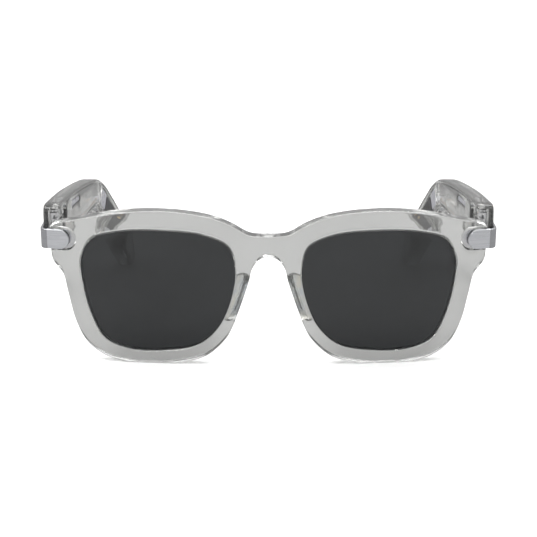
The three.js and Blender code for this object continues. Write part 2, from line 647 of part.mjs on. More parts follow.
const templePieces = [
  ['temple_shell', templeShell(), clearAcetate],
  ['arm_cover', armCover(), clearAcetate],
  ['tip_cover', tipCover(), clearAcetate],
  ['hinge_leaf', hingeLeaf(), brushedMetal],
  ['leaf_screw', leafScrew(), chrome],
  ['speaker_chamber', speakerChamber(), clearAcetate],
  ['speaker_driver', speakerDriver(), clearAcetate],
  ['speaker_mesh', speakerMesh(), silverShield],
  ['microphone', microphone(), silverShield],
  ['flex_cable', flexCable(), flexFilm],
  ['amplifier_board', amplifierBoard(), boardLaminate],
  ['bend_seal', bendSeal(), softRubber],
  ['connector_shield', connectorShield(), silverShield],
  ['tip_tray', tipTray(), darkPlastic],
  ['battery', battery(), batteryFoil],
  ['tip_board', tipBoard(), boardLaminate],
  ['charge_contact_front', chargeContact(contactPlaces[0]), gold],
  ['charge_contact_rear', chargeContact(contactPlaces[1]), gold],
];
for (const [name, geometry, material] of templePieces) {
  pair(leftTemple, rightTemple, name, geometry, material);
}

export default group;
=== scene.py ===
"""Smart glasses: a clear crystal front with tinted lenses, metal corners and hollow clear temples."""
import json
import math

import bmesh
import bpy
import numpy as np
from mathutils import Matrix, Vector
from mathutils.geometry import delaunay_2d_cdt

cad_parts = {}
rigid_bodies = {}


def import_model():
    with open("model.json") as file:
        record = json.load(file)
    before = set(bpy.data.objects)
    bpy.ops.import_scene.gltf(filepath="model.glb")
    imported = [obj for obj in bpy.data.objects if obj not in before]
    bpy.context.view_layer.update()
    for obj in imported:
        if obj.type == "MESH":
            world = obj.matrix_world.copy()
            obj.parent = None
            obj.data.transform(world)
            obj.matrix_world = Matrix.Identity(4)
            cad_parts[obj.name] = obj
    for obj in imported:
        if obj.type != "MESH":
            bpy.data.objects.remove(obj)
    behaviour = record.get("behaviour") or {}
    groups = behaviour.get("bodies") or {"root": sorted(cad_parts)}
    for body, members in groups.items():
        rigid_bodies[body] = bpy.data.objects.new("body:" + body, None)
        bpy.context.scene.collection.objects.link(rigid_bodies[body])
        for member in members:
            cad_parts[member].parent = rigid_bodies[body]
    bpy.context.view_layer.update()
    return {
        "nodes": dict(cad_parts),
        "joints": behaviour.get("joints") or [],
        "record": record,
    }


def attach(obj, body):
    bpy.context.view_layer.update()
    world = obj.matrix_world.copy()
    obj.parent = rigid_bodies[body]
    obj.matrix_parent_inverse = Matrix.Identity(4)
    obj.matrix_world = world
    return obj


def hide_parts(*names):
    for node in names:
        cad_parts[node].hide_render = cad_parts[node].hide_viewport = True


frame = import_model()

MM = 0.001

# ------------------------------------------------------------------ dimensions shared with the CAD, in mm

HINGE = next(Vector(j["pos_m"]) for j in frame["joints"] if j["name"] == "left_temple_fold") / MM
HINGE_Y = 18.3                        # the hinge axis behind the front's foremost plane
ORIGIN_Y = HINGE.y - HINGE_Y

WRAP_RADIUS = 330                     # radius of the front's bend
TILT = math.radians(5.5)
SETBACK = 4.62                        # puts the rim's foremost edge close to zero depth
FOOT = 0.75                           # how far the rim's lowest edge is set below the surface before its flat
RIM_THICKNESS = 4.4
LENS_DEPTH = 1.3                      # from the rim's front face to the lens
LENS_THICKNESS = 1.8
CAP_BOTTOM = 38.7
CAP_TOP = 45.3
CAP_INNER_END = 64.7
CAP_OUTER_FACE = 74.3
CAP_CORNER = 2.4
CAP_WALL = 1.2
CAP_REAR = 16.4
CAP_PROUD = 0.25                      # the plate stands this far off the clear front
LEDGE = 2.0                           # bracket ledge that shows past the cap's round end
GAP = 0.3                             # clearance between pieces that touch

KNUCKLE_RADIUS = 1.5

TEMPLE_OUTER_X = 74.6
TEMPLE_FRONT = 17.0
TEMPLE_THICKNESS = 5.8
BEND_Y = 94.0
BEND_SPREAD = 7.0                     # the kink between arm and tip is eased over this length each way
ARM_TURN = math.radians(2.7)
TIP_TURN = math.radians(7.8)
OUTER_WALL = 1.4
COVER_THICKNESS = 1.2
COVER_FROM = TEMPLE_THICKNESS - COVER_THICKNESS
COVER_INSET = 1.4                     # from the temple's outline to the inner covers' edges
SEAM = 0.35                           # half the gap between the arm's cover and the tip's
LEAF_RECESS = 3.7
LEAF_RECESS_REAR = 27.0
TIP_SLOPE = math.radians(-34.5)
TIP_CENTRE = (121.0, 22.8)
FACE_STEP = 2.6                       # spacing of the mesh points inside a large face


# ------------------------------------------------------------------ camera

CAMERA_DISTANCE = 0.430               # metres to the front, level with the middle of the lenses
CAMERA_ELEVATION = math.radians(14)
AIM_HEIGHT = 0.0339


def make_camera():
    data = bpy.data.cameras.new("camera")
    data.lens = 90
    data.sensor_width = 36
    data.clip_start = 0.01
    data.clip_end = 20
    camera = bpy.data.objects.new("camera", data)
    bpy.context.scene.collection.objects.link(camera)
    aim = Vector((0, ORIGIN_Y * MM, AIM_HEIGHT))
    away = Vector((0, -math.cos(CAMERA_ELEVATION), math.sin(CAMERA_ELEVATION)))
    camera.location = aim + away * CAMERA_DISTANCE
    camera.rotation_euler = (-away).to_track_quat("-Z", "Y").to_euler()
    bpy.context.scene.camera = camera


make_camera()


# ------------------------------------------------------------------ outlines, as lists of (x, y) in mm

def spline(points, step=0.8):
    """Points along a smooth centripetal curve through the given ones, ends included."""
    knots = [Vector(p) for p in points]
    knots = [2 * knots[0] - knots[1]] + knots + [2 * knots[-1] - knots[-2]]
    result = []
    for i in range(1, len(knots) - 2):
        result += spline_span(knots[i - 1:i + 3], step)
    return result + [tuple(knots[-2])]


def closed_spline(points, step=0.8):
    knots = [Vector(p) for p in points]
    count = len(knots)
    result = []
    for i in range(count):
        result += spline_span([knots[(i + k - 1) % count] for k in range(4)], step)
    return result


def spline_span(knots, step):
    a, b, c, d = knots
    t0 = 0.0
    t1 = t0 + math.sqrt((b - a).length)
    t2 = t1 + math.sqrt((c - b).length)
    t3 = t2 + math.sqrt((d - c).length)
    count = max(2, round((c - b).length / step))
    result = []
    for k in range(count):
        t = t1 + (t2 - t1) * k / count
        ab = a.lerp(b, (t - t0) / (t1 - t0))
        bc = b.lerp(c, (t - t1) / (t2 - t1))
        cd = c.lerp(d, (t - t2) / (t3 - t2))
        abc = ab.lerp(bc, (t - t0) / (t2 - t0))
        bcd = bc.lerp(cd, (t - t1) / (t3 - t1))
        result.append(tuple(abc.lerp(bcd, (t - t1) / (t2 - t1))))
    return result


def arc(x, y, radius, start, end, steps=12):
    """Points on an arc, angles in degrees."""
    turns = [math.radians(start + (end - start) * k / steps) for k in range(steps + 1)]
    return [(x + radius * math.cos(a), y + radius * math.sin(a)) for a in turns]


def line(start, end, step=1.2):
    count = max(1, round(math.dist(start, end) / step))
    return [tuple(Vector(start).lerp(Vector(end), k / count)) for k in range(count + 1)]


def joined(*runs, spacing=0.02):
    """Runs of points end to end, without points that lie closer to the last one than spacing."""
    kept = []
    for point in [p for run in runs for p in run]:
        if not kept or math.dist(point, kept[-1]) > spacing:
            kept.append(point)
    while math.dist(kept[0], kept[-1]) < spacing:
        kept.pop()
    return kept


def turned(points, centre, angle=0.0):
    cos, sin = math.cos(angle), math.sin(angle)
    return [(centre[0] + x * cos - y * sin, centre[1] + x * sin + y * cos) for x, y in points]


def stadium(length, height, centre, angle=0.0, steps=14):
    radius = height / 2
    reach = length / 2 - radius
    points = joined(arc(reach, 0, radius, -90, 90, steps), arc(-reach, 0, radius, 90, 270, steps))
    return turned(points, centre, angle)


def bar(length, height, radius, centre, angle=0.0, steps=6):
    x = length / 2 - radius
    y = height / 2 - radius
    corners = [(x, -y, -90), (x, y, 0), (-x, y, 90), (-x, -y, 180)]
    return turned(joined(*[arc(a, b, radius, s, s + 90, steps) for a, b, s in corners]), centre, angle)


def circle(radius, centre, steps=24):
    return arc(centre[0], centre[1], radius, 0, 360 * (steps - 1) / steps, steps - 1)


def area(points):
    return 0.5 * sum(a[0] * b[1] - b[0] * a[1] for a, b in zip(points, points[1:] + points[:1]))


def anticlockwise(points):
    return list(points) if area(points) > 0 else list(reversed(points))


def outward(points):
    """Unit normals of an anticlockwise loop."""
    loop = np.array(points, dtype=float)
    along = np.roll(loop, -1, axis=0) - loop
    along /= np.linalg.norm(along, axis=1, keepdims=True)
    tangent = along + np.roll(along, 1, axis=0)
    tangent /= np.linalg.norm(tangent, axis=1, keepdims=True)
    return np.stack([tangent[:, 1], -tangent[:, 0]], axis=1)


def moved_out(points, distance):
    loop = anticlockwise(points)
    return [tuple(p) for p in np.array(loop) + outward(loop) * distance]


# ------------------------------------------------------------------ solids from outlines

def inside(points, loop):
    """Which of the points lie inside a loop."""
    px, py = points[:, 0:1], points[:, 1:2]
    a = np.array(loop)
    b = np.roll(a, -1, axis=0)
    crosses = (a[:, 1] > py) != (b[:, 1] > py)
    height = np.where(b[:, 1] == a[:, 1], 1e-9, b[:, 1] - a[:, 1])
    at = a[:, 0] + (py - a[:, 1]) * (b[:, 0] - a[:, 0]) / height
    return np.logical_and(crosses, px < at).sum(axis=1) % 2 == 1


def fill(outer, holes, step):
    """Triangles that fill a loop but not its holes: (extra inner points, triangles by index).

    The loops' own points come first, in order, and then the extra ones."""
    loops = [outer] + holes
    edge_points = np.array([p for loop in loops for p in loop])
    extra = np.zeros((0, 2))
    if step:
        low, high = edge_points.min(axis=0), edge_points.max(axis=0)
        xs = np.arange(low[0] + step / 2, high[0], step)
        ys = np.arange(low[1] + step / 2, high[1], step)
        grid = np.array([(x, y) for x in xs for y in ys])
        keep = inside(grid, outer)
        for hole in holes:
            keep &= ~inside(grid, hole)
        grid = grid[keep]
        if len(grid):
            gap = np.array([np.min(np.sum((edge_points - p) ** 2, axis=1)) for p in grid])
            extra = grid[gap > (0.55 * step) ** 2]
    coords = [Vector(p) for p in edge_points] + [Vector(p) for p in extra]
    edges, first = [], 0
    for loop in loops:
        edges += [(first + i, first + (i + 1) % len(loop)) for i in range(len(loop))]
        first += len(loop)
    verts, _, faces, origin, _, _ = delaunay_2d_cdt(coords, edges, [], 0, 1e-7)
    names = [o[0] if o else None for o in origin]
    centres = np.array([np.mean([verts[i] for i in face], axis=0) for face in faces])
    keep = inside(centres, outer)
    for hole in holes:
        keep &= ~inside(centres, hole)
    triangles = [[names[i] for i in face] for face, k in zip(faces, keep) if k]
    return extra, [t for t in triangles if None not in t]


def rounded_edge(depth_from, depth_to, front, rear, steps=5):
    """Profile of a plate's edge as (inset, depth) pairs, with a round of each radius."""
    turns = [math.pi / 2 * k / steps for k in range(steps + 1)]
    profile = [(front * (1 - math.sin(a)), depth_from + front * (1 - math.cos(a))) for a in turns]
    profile += [(rear * (1 - math.cos(a)), depth_to - rear * (1 - math.sin(a))) for a in turns]
    return [p for i, p in enumerate(profile) if i == 0 or math.dist(p, profile[i - 1]) > 1e-4]


class Builder:
    """Collects closed solids into one mesh. Lengths are in mm until the mesh is made."""

    def __init__(self):
        self.bm = bmesh.new()

    def vert(self, place, x, y, depth):
        return self.bm.verts.new(Vector(place(x, y, depth)) * MM)

    def wall(self, rings):
        for a, b in zip(rings, rings[1:]):
            for i in range(len(a)):
                j = (i + 1) % len(a)
                self.bm.faces.new((a[i], a[j], b[j], b[i]))

    def cap(self, rings, loops, depth, place, step):
        extra, triangles = fill(loops[0], loops[1:], step)
        corners = [v for ring in rings for v in ring]
        corners += [self.vert(place, x, y, depth) for x, y in extra]
        for triangle in triangles:
            self.bm.faces.new([corners[i] for i in triangle])

    def plate(self, outer, profile, place, holes=(), step=None, scale=None):
        """A plate with an edge profile, and holes as (outline, profile).

        A profile is a list of (inset, depth) from the front face to the rear one, where inset counts
        into the material. scale(x, y) shrinks the outer edge's profile from place to place."""
        near, far = profile[0][1], profile[-1][1]
        middle = (near + far) / 2
        ends = []
        for points, edge, side in [(outer, profile, -1)] + [(p, e, 1) for p, e in holes]:
            loop = anticlockwise(points)
            base, normal = np.array(loop, dtype=float), outward(loop)
            size = np.ones(len(loop))
            if scale and side < 0:
                size = np.array([scale(x, y) for x, y in loop])
            rings, flats = [], []
            for inset, depth in edge:
                flat = base + normal * (side * inset * size)[:, None]
                end = near if depth < middle else far
                depths = end + (depth - end) * size
                flats.append([tuple(p) for p in flat])
                rings.append([self.vert(place, x, y, d) for (x, y), d in zip(flat, depths)])
            self.wall(rings)
            ends.append((rings[0], flats[0], rings[-1], flats[-1]))
        self.cap([e[0] for e in ends], [e[1] for e in ends], near, place, step)
        self.cap([e[2] for e in ends], [e[3] for e in ends], far, place, step)

    def lathe(self, profile, place, steps=40):
        """A profile of (radius, height) turned about an axis, closed on the axis or on itself."""
        rings = []
        for radius, height in profile:
            turns = [2 * math.pi * k / steps for k in range(steps if radius > 1e-6 else 1)]
            points = [(radius * math.cos(a), radius * math.sin(a)) for a in turns]
            rings.append([self.vert(place, x, y, height) for x, y in points])
        if profile[0][0] > 1e-6:
            rings.append(rings[0])
        for a, b in zip(rings, rings[1:]):
            for i in range(steps):
                j = (i + 1) % steps
                corners = [a[i % len(a)], a[j % len(a)], b[j % len(b)], b[i % len(b)]]
                self.bm.faces.new(list(dict.fromkeys(corners)))

    def mesh(self, name, sharp=38):
        bmesh.ops.recalc_face_normals(self.bm, faces=self.bm.faces)
        mesh = bpy.data.meshes.new(name)
        self.bm.to_mesh(mesh)
        self.bm.free()
        mesh.shade_smooth()
        mesh.set_sharp_from_angle(angle=math.radians(sharp))
        return mesh


def solid(outline, profile, place, **options):
    builder = Builder()
    builder.plate(outline, profile, place, **options)
    return builder


def block(low, high, place):
    """A plain block between corners (x, y, depth), as a cutter."""
    (x0, y0, d0), (x1, y1, d1) = low, high
    return solid([(x0, y0), (x1, y0), (x1, y1), (x0, y1)], [(0, d0), (0, d1)], place)


def cut(mesh, cutters, sharp=30):
    """The mesh with the cutters' meshes taken out of it, all at once."""
    obj = bpy.data.objects.new("carved", mesh)
    bpy.context.scene.collection.objects.link(obj)
    tools = bpy.data.collections.new("cutters")
    bpy.context.scene.collection.children.link(tools)
    for cutter in cutters:
        tools.objects.link(bpy.data.objects.new("cutter", cutter.mesh("cutter")))
    modifier = obj.modifiers.new("cut", "BOOLEAN")
    modifier.operation = "DIFFERENCE"
    modifier.solver = "EXACT"
    modifier.operand_type = "COLLECTION"
    modifier.collection = tools
    depsgraph = bpy.context.evaluated_depsgraph_get()
    result = bpy.data.meshes.new_from_object(obj.evaluated_get(depsgraph), depsgraph=depsgraph)
    for scrap in [obj] + list(tools.objects):
        bpy.data.objects.remove(scrap)
    bpy.data.collections.remove(tools)
    result.shade_smooth()
    result.set_sharp_from_angle(angle=math.radians(sharp))
    return result


def other_side(mesh):
    mirrored = mesh.copy()
    mirrored.transform(Matrix.Diagonal((-1, 1, 1, 1)))
    mirrored.flip_normals()
    return mirrored


def piece(name, mesh, body, material):
    """A finished piece in place of the CAD node of the same name."""
    obj = bpy.data.objects.new(name + "_fine", mesh)
    bpy.context.scene.collection.objects.link(obj)
    obj.data.materials.append(MATERIALS[material])
    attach(obj, body)
    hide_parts(name)
    return obj


def on_both_sides(name, mesh, bodies, material):
    for side, part in (("left", mesh), ("right", other_side(mesh))):
        piece(f"{name}_{side}", part, bodies[side], material)


FRONT_BODY = {"left": "front", "right": "front"}
TEMPLE_BODY = {"left": "left_temple", "right": "right_temple"}


# ------------------------------------------------------------------ materials

def link(tree, source, target):
    tree.links.new(source, target)


def soft_step(tree, source, span, values):
    """A value that goes smoothly from the first of two values to the second over a span of the source."""
    made = tree.nodes.new("ShaderNodeMapRange")
    made.interpolation_type = "SMOOTHSTEP"
    for name, value in zip(("From Min", "From Max", "To Min", "To Max"), (*span, *values)):
        made.inputs[name].default_value = value
    link(tree, source, made.inputs["Value"])
    return made.outputs["Result"]


class Look:
    """A procedural material: a Principled shader whose colour, roughness and relief come from noise."""

    def __init__(self, name, stretch=(1, 1, 1)):
        self.material = bpy.data.materials.new(name)
        self.material.use_nodes = True
        self.tree = self.material.node_tree
        self.shader = self.tree.nodes["Principled BSDF"]
        coords = self.add("ShaderNodeTexCoord")
        mapping = self.add("ShaderNodeMapping")
        mapping.inputs["Scale"].default_value = stretch
        link(self.tree, coords.outputs["Object"], mapping.inputs["Vector"])
        self.place = mapping.outputs["Vector"]
        self.height = None

    def add(self, kind, **settings):
        made = self.tree.nodes.new(kind)
        for key, value in settings.items():
            setattr(made, key, value)
        return made

    def set(self, **values):
        for key, value in values.items():
            self.shader.inputs[key.replace("_", " ")].default_value = value
        return self

    def noise(self, scale, detail=3.0, rough=0.55):
        made = self.add("ShaderNodeTexNoise")
        made.inputs["Scale"].default_value = scale
        made.inputs["Detail"].default_value = detail
        made.inputs["Roughness"].default_value = rough
        link(self.tree, self.place, made.inputs["Vector"])
        return made.outputs["Fac"]

    def ramp(self, fac, low, high, start=0.3, end=0.7):
        made = self.add("ShaderNodeValToRGB")
        made.color_ramp.elements[0].position = start
        made.color_ramp.elements[0].color = low
        made.color_ramp.elements[1].position = end
        made.color_ramp.elements[1].color = high
        link(self.tree, fac, made.inputs["Fac"])
        return made.outputs["Color"]

    def colour(self, low, high, scale, detail=3.0):
        """Base colour that drifts between two tones."""
        link(self.tree, self.ramp(self.noise(scale, detail), (*low, 1), (*high, 1)),
             self.shader.inputs["Base Color"])
        return self

    def roughness(self, low, high, scale):
        made = self.add("ShaderNodeMapRange")
        made.inputs["From Min"].default_value = 0.3
        made.inputs["From Max"].default_value = 0.7
        made.inputs["To Min"].default_value = low
        made.inputs["To Max"].default_value = high
        link(self.tree, self.noise(scale, 4.0), made.inputs["Value"])
        link(self.tree, made.outputs["Result"], self.shader.inputs["Roughness"])
        return self

    def relief(self, source, strength, distance):
        """Bump from a height, on top of any relief the look already has."""
        made = self.add("ShaderNodeBump")
        made.inputs["Strength"].default_value = strength
        made.inputs["Distance"].default_value = distance
        link(self.tree, source, made.inputs["Height"])
        if self.height:
            link(self.tree, self.height, made.inputs["Normal"])
        self.height = made.outputs["Normal"]
        link(self.tree, self.height, self.shader.inputs["Normal"])
        return self


def clear_plastic(name, low, high, index=1.49, drift=55):
    """Polished clear plastic: faint drift in tint, the soft waves of tumbling and light handling marks."""
    look = Look(name).set(Transmission_Weight=0.95, IOR=index)
    look.colour(low, high, drift, 2)
    look.roughness(0.015, 0.06, 260)
    return look.relief(look.noise(140, 2), 0.06, 0.0006).relief(look.noise(2600, 3), 0.03, 0.00004)


def tinted_lens(name):
    look = Look(name).set(Transmission_Weight=1.0, IOR=1.5, Coat_Weight=0.25, Coat_Roughness=0.02)
    look.colour((0.036, 0.039, 0.041), (0.043, 0.046, 0.048), 22, 1)
    look.roughness(0.0, 0.02, 180)
    return look.relief(look.noise(40, 1), 0.03, 0.0008)


def metal(name, low, high, rough, stretch=(1, 1, 1), grain=3000, depth=0.15):
    look = Look(name, stretch).set(Metallic=1.0)
    look.colour(low, high, grain * 0.4, 4)
    look.roughness(rough * 0.8, rough * 1.3, grain * 0.2)
    return look.relief(look.noise(grain, 5), depth, 0.00006)


PAINTED_SHADE_SHARE = 0.6                    # the corner's painted shade and its polished roughness, as shares of the brushed colour and roughness
POLISHED_ROUGHNESS = 0.45


def polished_with_painted_shade_beyond(look, distance):
    """Turns the finish from brushed to polished beyond a distance in mm from the middle, and darkens the
    colour there as painted shade.
    """
    split = look.add("ShaderNodeSeparateXYZ")
    sideways = look.add("ShaderNodeMath", operation="ABSOLUTE")
    link(look.tree, look.add("ShaderNodeTexCoord").outputs["Object"], split.inputs[0])
    link(look.tree, split.outputs["X"], sideways.inputs[0])
    span = ((distance - 0.1) * MM, (distance + 0.1) * MM)
    darker = look.add("ShaderNodeVectorMath", operation="SCALE")
    smoother = look.add("ShaderNodeMath", operation="MULTIPLY")
    for name, scaled, factor, share in (("Base Color", darker, darker.inputs["Scale"], PAINTED_SHADE_SHARE),
                                        ("Roughness", smoother, smoother.inputs[1], POLISHED_ROUGHNESS)):
        socket = look.shader.inputs[name]
        link(look.tree, socket.links[0].from_socket, scaled.inputs[0])
        link(look.tree, soft_step(look.tree, sideways.outputs[0], span, (1.0, share)), factor)
        link(look.tree, scaled.outputs[0], socket)
    return look


def moulded(name, low, high, rough, grain=2400, depth=0.25):
    """Moulded plastic or rubber with a fine spark-eroded grain."""
    look = Look(name)
    look.colour(low, high, 90, 4)
    look.roughness(rough * 0.85, rough * 1.15, 700)
    return look.relief(look.noise(grain, 4), depth, 0.00008)


BRUSHED = (0.03, 0.03, 1.0)            # noise drawn out along the plate, so that it runs in fine lines
LOOKS = {
    "clear_acetate": clear_plastic("clear_acetate", (0.90, 0.905, 0.89), (0.95, 0.955, 0.94)),
    "clear_pad": clear_plastic("clear_pad", (0.62, 0.68, 0.78), (0.96, 0.91, 0.76), 1.45, 190),
    "tinted_lens": tinted_lens("tinted_lens"),
    # brushed metal: the darker colour on the corner's turn is painted shade, standing in for the dim
    # reflection towards the sides
    "brushed_metal": polished_with_painted_shade_beyond(
        metal("brushed_metal", (0.67, 0.68, 0.71), (0.82, 0.83, 0.86), 0.32, BRUSHED, 7000, 0.3),
        CAP_OUTER_FACE - CAP_CORNER),
    "hinge_steel": metal("hinge_steel", (0.62, 0.62, 0.63), (0.74, 0.74, 0.75), 0.12, grain=1800, depth=0.06),
    "chrome": metal("chrome", (0.72, 0.72, 0.73), (0.82, 0.82, 0.83), 0.07, grain=900, depth=0.05),
    "dark_plastic": moulded("dark_plastic", (0.022, 0.022, 0.024), (0.040, 0.040, 0.043), 0.45),
    "seal_rubber": moulded("seal_rubber", (0.012, 0.012, 0.013), (0.025, 0.025, 0.026), 0.7),
    "gold_plate": metal("gold_plate", (0.80, 0.58, 0.25), (0.92, 0.70, 0.36), 0.2, grain=1500, depth=0.08),
    "flex_film": moulded("flex_film", (0.30, 0.15, 0.035), (0.42, 0.22, 0.06), 0.35, 1400, 0.1),
    "board_laminate": moulded("board_laminate", (0.018, 0.045, 0.035), (0.03, 0.07, 0.05), 0.5, 1600, 0.3),
    "silver_shield": metal("silver_shield", (0.55, 0.55, 0.60), (0.70, 0.70, 0.75), 0.3, grain=1200),
    "battery_foil": metal("battery_foil", (0.40, 0.40, 0.43), (0.55, 0.55, 0.58), 0.4, grain=600, depth=0.4),
}
MATERIALS = {slot: look.material for slot, look in LOOKS.items()}


# ------------------------------------------------------------------ places on the front and the temples

def surface_y(x):
    return x * x / (2 * WRAP_RADIUS)


def nasal_edge(height):
    return 6.1 + 0.29 * (30.6 - height) + 0.0028 * (30.6 - height) ** 2


def tilted(x, y, z):
    """From the front's own frame to the part's. The rim's lowest edge is flattened on the floor."""
    cos, sin = math.cos(TILT), math.sin(TILT)
    return x, ORIGIN_Y + SETBACK + y * cos - z * sin, max(0.0, y * sin + z * cos - FOOT)


def on_front(x, height, depth):
    return tilted(x, depth + surface_y(x), height)


def temple_turn(along):
    """The temple's angle in plan: the arm's, the tip's, and an even turn between them."""
    share = min(1.0, max(0.0, (along - BEND_Y + BEND_SPREAD) / (2 * BEND_SPREAD)))
    return ARM_TURN + (TIP_TURN - ARM_TURN) * share


PATH_STEP = 0.25
PATH = [(TEMPLE_OUTER_X, TEMPLE_FRONT)]
for number in range(int(150 / PATH_STEP)):
    angle = temple_turn(TEMPLE_FRONT + (number + 0.5) * PATH_STEP)
    last = PATH[-1]
    PATH.append((last[0] - PATH_STEP * math.sin(angle), last[1] + PATH_STEP * math.cos(angle)))


def on_temple(along, height, depth):
    """From a temple's side view (back, up, inwards from the outer face) to the part's frame."""
    t = max(0.0, (along - TEMPLE_FRONT) / PATH_STEP)
    i = min(int(t), len(PATH) - 2)
    x = PATH[i][0] + (PATH[i + 1][0] - PATH[i][0]) * (t - i)
    y = PATH[i][1] + (PATH[i + 1][1] - PATH[i][1]) * (t - i)
    if along < TEMPLE_FRONT:
        x -= (along - TEMPLE_FRONT) * math.sin(ARM_TURN)
        y += (along - TEMPLE_FRONT) * math.cos(ARM_TURN)
    angle = temple_turn(along)
    return x - depth * math.cos(angle), ORIGIN_Y + y - depth * math.sin(angle), height


def on_hinge(x, y, height):
    return HINGE.x + x, HINGE.y + y, height


# ------------------------------------------------------------------ the front

def quadratic(start, control, end, steps=6):
    a, b, c = Vector(start), Vector(control), Vector(end)
    return [tuple(a.lerp(b, k / steps).lerp(b.lerp(c, k / steps), k / steps)) for k in range(steps + 1)]


NOTCH_RADIUS = (CAP_TOP - CAP_BOTTOM) / 2 + GAP
NOTCH_MIDDLE = (CAP_TOP + CAP_BOTTOM) / 2
NOTCH_CENTRE = CAP_INNER_END - LEDGE - GAP + NOTCH_RADIUS
NOTCH_LOW = NOTCH_MIDDLE - NOTCH_RADIUS
NOTCH_HIGH = NOTCH_MIDDLE + NOTCH_RADIUS
RIM_SIDE = 70.8
CORNER_START = (68.6, 47.6)            # where the rim's round corner leaves its top
CORNER_END = (69.2, 33)                # where it runs into the side below the notch


def half_rim():
    """The wearer's left half of the rim, from the bridge's top over the corner to its underside."""
    upper = spline([(-6, 45.5), (0, 45.1), (6, 45.5), (11.7, 48.6), (17.5, 50.9), (26, 52.5), (36, 53),
                    (48, 52.1), (60, 49.6), CORNER_START])
    lower = spline([CORNER_END, (67.2, 30.3), (65.8, 23.7), (63.7, 14.2), (60.4, 7.2), (54.4, 2.4), (46, 0.3),
                    (38, 0), (29, 0.9), (20.6, 3.6), (13.9, 9.85)]
                   + [(nasal_edge(h), h) for h in (14.5, 18, 22.5, 27, 30.6)]
                   + [(5.4, 33.8), (3, 37.2), (0, 38.2), (-3, 37.2)])
    return joined(
        [p for p in upper if p[0] > -1e-6],
        quadratic(CORNER_START, (70.7, 47), (RIM_SIDE, NOTCH_HIGH + 0.3)),
        line((RIM_SIDE, NOTCH_HIGH), (NOTCH_CENTRE, NOTCH_HIGH)),
        arc(NOTCH_CENTRE, NOTCH_MIDDLE, NOTCH_RADIUS, 90, 270, 24),
        line((NOTCH_CENTRE, NOTCH_LOW), (RIM_SIDE, NOTCH_LOW)),
        quadratic((RIM_SIDE, 36.6), (70.6, 34.4), CORNER_END),
        [p for p in lower if p[0] > -1e-6],
    )


LENS_OPENING = closed_spline([
    (10.7, 33.5), (12.3, 22.9), (16.4, 13.6), (23, 7.4), (34, 5), (46, 5), (54, 8.2), (58.4, 16.5),
    (60.6, 26), (61.1, 35.6), (57.4, 42.6), (48, 45.6), (35, 46.4), (21, 45.2), (12.9, 41.3)], 1.0)
RIM_BEVEL = 0.5
LIP_BEVEL = 0.32                       # round of the lens openings' edges
NOTCH_EDGE = 0.15                      # share of the rim's bevel that is left along the notch
LENS_EDGE = 0.35                       # half as deep in its groove as the CAD's lens, with a finer gap
GROOVE = LENS_EDGE + 0.1


def front_rim():
    half = half_rim()
    outline = half + [(-x, y) for x, y in reversed(half) if x > 1e-6]
    rounded = rounded_edge(0, RIM_THICKNESS, RIM_BEVEL, RIM_BEVEL)
    lip = rounded_edge(0, RIM_THICKNESS, LIP_BEVEL, LIP_BEVEL, 3)
    half_way = len(lip) // 2
    groove_front = LENS_DEPTH - GAP
    groove_rear = LENS_DEPTH + LENS_THICKNESS + GAP
    grooved = (lip[:half_way] + [(0, groove_front), (GROOVE, groove_front), (GROOVE, groove_rear),
                                 (0, groove_rear)] + lip[half_way:])

    def edge_size(x, height):
        beside = abs(x) > CAP_INNER_END - LEDGE - 1
        level = NOTCH_LOW - RIM_BEVEL < height < NOTCH_HIGH + RIM_BEVEL
        return NOTCH_EDGE if beside and level else 1.0

    right = [(-x, y) for x, y in LENS_OPENING]
    rim = solid(outline, rounded, on_front, holes=[(LENS_OPENING, grooved), (right, grooved)],
                step=FACE_STEP, scale=edge_size)
    piece("front_rim", rim.mesh("front_rim"), "front", "clear_acetate")


def lenses():
    outline = moved_out(LENS_OPENING, LENS_EDGE)
    profile = rounded_edge(LENS_DEPTH, LENS_DEPTH + LENS_THICKNESS, 0.25, 0.25, 3)
    lens = solid(outline, profile, on_front, step=FACE_STEP)
    on_both_sides("lens", lens.mesh("lens"), FRONT_BODY, "tinted_lens")


PAD_THICKNESS = 1.8
PAD_FLARE = 0.055                      # the pads spread out behind the rim by this times the depth squared
PAD_DOME = 1.5                         # the side towards the nose is domed in from the pad's edge


def nose_pads():
    outline = closed_spline([(4.8, 22), (4.8, 27), (5.5, 29.9), (7.2, 31), (9, 30), (10.5, 27.6), (11.4, 24),
                             (11.3, 19.5), (9.6, 15.5), (7.2, 14), (5.4, 15), (4.8, 18)], 0.7)

    def on_nose(depth, height, across):
        flare = PAD_FLARE * max(0.0, depth - RIM_THICKNESS) ** 2
        x = nasal_edge(height) + across + flare
        return tilted(x, depth + surface_y(x), height)

    turns = [math.pi / 2 * k / 8 for k in range(9)]
    dome = [(PAD_DOME * (1 - math.sin(a)), (PAD_THICKNESS - 0.2) * (1 - math.cos(a))) for a in turns]
    pad = solid(outline, dome + [(0.03, PAD_THICKNESS - 0.06), (0.12, PAD_THICKNESS)], on_nose, step=0.9)
    on_both_sides("nose_pad", pad.mesh("nose_pad", sharp=60), FRONT_BODY, "clear_pad")


CAP_STEP = 0.7                         # fine enough for the cap's tight turn round the corner


